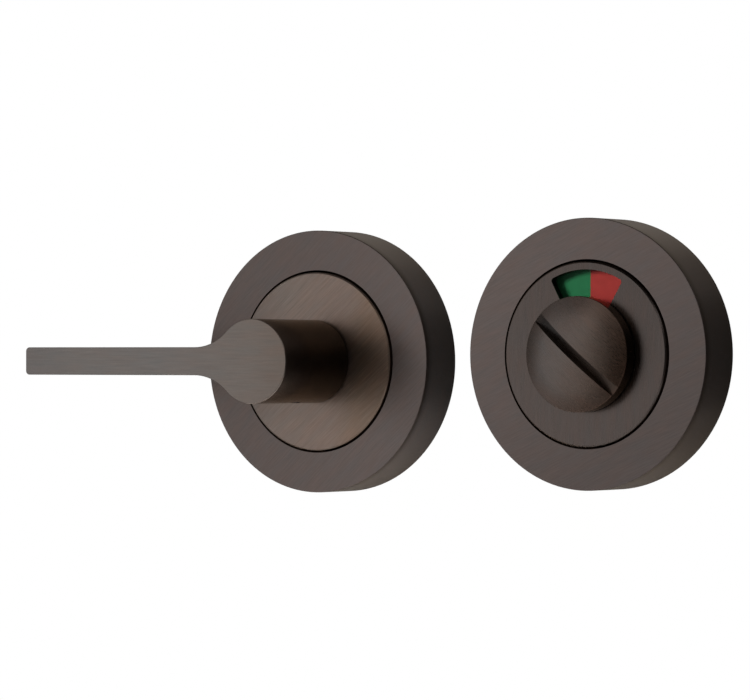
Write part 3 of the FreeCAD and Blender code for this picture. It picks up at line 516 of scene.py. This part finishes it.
# Lever
# Boss and blade milled from one bar, brushed along the blade. Its tone is
# painted as light and shade: cooler along the blade, darker at its tip, and
# darker and warmer toward the boss's right. A painted highlight lies along
# the front edge, and painted shade darkens the boss's side toward the door.

wear("turn_lever", brushed_bronze(
    "lever bronze", turn_centre, brushing=0, colour=(0.150, 0.128, 0.117),
    # Painted light and shade along the lever.
    painted_shading_angle=0, painted_shading=((-52, (0.90, 0.94, 0.97)), (-44, (0.96, 1.01, 1.03)),
                        (-20, (0.97, 1.01, 1.03)), (0, (0.97, 0.96, 0.93)),
                        (7, (0.91, 0.85, 0.79))),
    front=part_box("turn_lever")[0].y,
    # Painted highlight on the front edge, then painted shade down the boss toward the door.
    behind=((0, 1.0), (0.01, 1.0), (0.04, 1.8), (0.13, 1.8), (0.3, 1.1), (2, 0.95),
            (7, 0.60), (14, 0.37), (22, 0.20)),
    contrast=0.13, roughness=0.22, length=7, width=0.2, lean=0.2))

# Indicator
# A white moulded carrier behind the window, with two printed foils stuck to
# it: green on the free side and red on the engaged side.


def printed_foil(name, colour):
    """Printed foil under a satin film that is much less shiny than bare plastic."""
    skin, shader = moulded(name, colour)
    shader.inputs["Specular IOR Level"].default_value = 0.2
    return skin


carrier_plastic, _ = moulded("carrier plastic", (0.55, 0.55, 0.53))
wear("indicator_carrier", carrier_plastic)
wear("indicator_green", printed_foil("green foil", (0.014, 0.112, 0.043)))
wear("indicator_red", printed_foil("red foil", (0.26, 0.028, 0.024)))

# Release knob
# Turned with its shaft from one bar, slotted for a coin, then brushed across
# at the slot's own angle. Across the dome the tone is painted as light and
# shade: darker at one side, a bright, cool painted highlight next to it, and
# warmer toward the other side. Painted shade darkens its skirt toward the disc.

wear("release_knob", brushed_bronze(
    "knob bronze", release_centre, brushing=-38, colour=(0.101, 0.079, 0.070),
    # Painted highlight and shade across the dome.
    painted_shading_angle=-15, painted_shading=((-12, (0.86, 0.88, 0.86)), (-7, (1.10, 1.20, 1.25)),
                          (0, (1.05, 1.02, 0.98)), (11, (1.02, 0.84, 0.68))),
    front=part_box("release_knob")[0].y,
    # Painted shade down the skirt toward the disc.
    behind=((0, 1.0), (0.6, 1.0), (0.9, (0.88, 0.84, 0.82)), (1.5, (0.78, 0.70, 0.66)),
            (2.0, 0.5), (5, 0.35)),
    lean=0.9))

# White tent
# Even white light from all round, dimmed on the lock so that its colours come
# out as they are, and full white where the camera or a mirror image sees it.

tent_strength = 0.18
backdrop_strength = 1.0


def even_white(tree, strength):
    """White light of this strength from every side."""
    light = tree.nodes.new("ShaderNodeBackground")
    light.inputs["Color"].default_value = (1, 1, 1, 1)
    light.inputs["Strength"].default_value = strength
    return light.outputs[0]


def either(tree, first, second):
    """One where at least one of two kinds of ray is meant, and nought elsewhere."""
    larger = tree.nodes.new("ShaderNodeMath")
    larger.operation = "MAXIMUM"
    tree.links.new(first, larger.inputs[0])
    tree.links.new(second, larger.inputs[1])
    return larger.outputs[0]


world = bpy.data.worlds.new("white tent")
bpy.context.scene.world = world
world.use_nodes = True
sky = world.node_tree
sky.nodes.clear()
sky_output = sky.nodes.new("ShaderNodeOutputWorld")
rays = sky.nodes.new("ShaderNodeLightPath").outputs
straight = either(sky, rays["Is Camera Ray"], rays["Is Glossy Ray"])
seen = either(sky, straight, rays["Is Transmission Ray"])
pick = sky.nodes.new("ShaderNodeMixShader")
sky.links.new(seen, pick.inputs[0])
sky.links.new(even_white(sky, tent_strength), pick.inputs[1])
sky.links.new(even_white(sky, backdrop_strength), pick.inputs[2])
sky.links.new(pick.outputs[0], sky_output.inputs["Surface"])

# Felt curtains
# Curved cloths hung inside the tent, seen only in the metal's mirror images:
# grey and black to the right and behind, where the roses' sides turn dark, and
# pale to the left and below.

felt_levels = {"black": 0.03, "dark": 0.08, "dim": 0.13, "grey": 0.21, "pale": 0.36, "white": 0.65}
felt_clouds_each_metre = 40
steps_round = 48
steps_up = 24


def felt(name, level):
    """Matt cloth seen at one even grey however it is lit, a little uneven."""
    skin, tree, shader = new_skin(name, (0, 0, 0), roughness=1.0, metallic=0.0)
    place = place_pattern(tree, turn_centre, stretch=(felt_clouds_each_metre,) * 3)
    tree.links.new(uneven(tree, noise(tree, place), (level,) * 3, 0.05),
                   shader.inputs["Emission Color"])
    shader.inputs["Emission Strength"].default_value = 1.0
    shader.inputs["Specular IOR Level"].default_value = 0.0
    return skin


def hang_curtain(name, reach, azimuths, heights, skin):
    """Part of a ball about the lock, between two azimuths and two heights in degrees.

    A point lies at the reach times the direction of its azimuth, from -Y toward +X, and of
    its height, and neighbouring points are joined by four-sided faces.
    """
    across, up = np.meshgrid(np.radians(np.linspace(*azimuths, steps_round + 1)),
                             np.radians(np.linspace(*heights, steps_up + 1)), indexing="ij")
    points = reach * np.stack([np.sin(across) * np.cos(up), -np.cos(across) * np.cos(up),
                               np.sin(up)], axis=-1)
    column = steps_up + 1
    first = (np.arange(steps_round)[:, None] * column + np.arange(steps_up)).reshape(-1)
    faces = np.stack([first, first + column, first + column + 1, first + 1], axis=-1)
    mesh = bpy.data.meshes.new(name)
    mesh.from_pydata(points.reshape(-1, 3).tolist(), [], faces.tolist())
    mesh.materials.append(skin)
    curtain = bpy.data.objects.new(name, mesh)
    bpy.context.scene.collection.objects.link(curtain)
    curtain.visible_camera = False
    curtain.visible_diffuse = False


felts = {shade: felt(shade + " felt", level) for shade, level in felt_levels.items()}
for curtain_name, reach, azimuths, heights, shade in (
        ("right_flag", 1.0, (-12, 6), (-23, 23), "black"),
        ("far_flag", 1.0, (6, 157), (-23, 23), "dark"),
        ("upper_flag", 1.1, (82, 155), (21, 60), "grey"),
        ("lower_flag", 1.1, (82, 155), (-65, -21), "grey"),
        ("back_cloth", 1.2, (150, 262), (-65, 60), "grey"),
        ("back_low", 1.19, (150, 262), (-13, 13), "dim"),
        ("back_high", 1.19, (180, 222), (14, 50), "pale"),
        ("left_cloth", 1.1, (-98, -55), (-65, 60), "pale"),
        ("left_flag", 1.0, (-67, -57), (-12, 5), "black"),
        ("above_window", 1.15, (-56, -22), (19, 60), "pale"),
        ("below_window", 1.15, (-56, -22), (-65, -24), "pale"),
        ("lower_right", 1.15, (-22, 52), (-40, -25), "white"),
        ("high_flag", 1.2, (-22, 100), (38, 60), "black"),
        ("low_flag", 1.2, (-22, 100), (-65, -38), "black"),
        ("ceiling", 1.3, (-180, 180), (58, 89), "black")):
    hang_curtain(curtain_name, reach, azimuths, heights, felts[shade])

# Lamps
# A soft key lamp at the left, which throws the window's edge and the knob's
# rim on the foils, and a wider one overhead. Neither shows in the metal.


def toward(azimuth, height):
    """Direction of one metre from an azimuth, from -Y toward +X, and a height in degrees."""
    across, up = math.radians(azimuth), math.radians(height)
    return Vector((math.sin(across) * math.cos(up), -math.cos(across) * math.cos(up),
                   math.sin(up)))


def soft_lamp(name, away, distance, size, power):
    """A square white lamp aimed at the lock, whose own mirror image isn't seen."""
    light = bpy.data.lights.new(name, "AREA")
    light.shape = "SQUARE"
    light.size = size
    light.energy = power
    lamp = bpy.data.objects.new(name, light)
    bpy.context.scene.collection.objects.link(lamp)
    lamp.location = away * distance
    lamp.rotation_mode = "QUATERNION"
    lamp.rotation_quaternion = (-away).to_track_quat("-Z", "Y")
    lamp.visible_camera = False
    lamp.visible_glossy = False


soft_lamp("key", toward(-34, 14), distance=0.80, size=0.24, power=8.2)
soft_lamp("top", toward(180, 80), distance=0.95, size=0.6, power=6.5)

# Floor
# A plain pale floor well below the lock, because in the photograph nothing
# stands under it.

floor_middle = Vector((0.02, 0.0, -0.14))
floor_width = 0.30
pale_floor, floor_tree, floor_shader = new_skin("pale floor", (0.9, 0.9, 0.89), roughness=0.8,
                                                metallic=0.0)
floor_place = place_pattern(floor_tree, turn_centre, stretch=(60, 60, 60))
floor_tree.links.new(tint(floor_tree, noise(floor_tree, floor_place), (0.89, 0.89, 0.88),
                          (0.91, 0.91, 0.90)), floor_shader.inputs["Base Color"])
floor_corners = [floor_middle + Vector((across, along, 0)) * floor_width / 2
                 for across, along in ((-1, 1), (1, 1), (1, -1), (-1, -1))]
floor_mesh = bpy.data.meshes.new("floor")
floor_mesh.from_pydata(floor_corners, [], [(0, 1, 2, 3)])
floor_mesh.materials.append(pale_floor)
floor = bpy.data.objects.new("floor", floor_mesh)
bpy.context.scene.collection.objects.link(floor)

# Camera
# It stands level, a third of a right angle to the right of square on, and far
# enough away that the two roses look nearly the same size.

photo_width = 750
focal_pixels = 4106
away_from_lock = toward(33.22, -0.18)
camera_distance = 0.820
camera_roll = math.radians(0.1)
aim = Vector((7.06, 0.0, 2.31)) * MM
lens = bpy.data.cameras.new("camera")
lens.sensor_width = 36
lens.lens = focal_pixels / photo_width * lens.sensor_width
lens.clip_start = 0.01
lens.clip_end = 10
camera = bpy.data.objects.new("camera", lens)
bpy.context.scene.collection.objects.link(camera)
camera.location = aim + away_from_lock * camera_distance
camera.rotation_mode = "QUATERNION"
level = (-away_from_lock).to_track_quat("-Z", "Y")
camera.rotation_quaternion = level @ Quaternion((0, 0, 1), camera_roll)
bpy.context.scene.camera = camera
bpy.context.scene.view_settings.view_transform = "Standard"
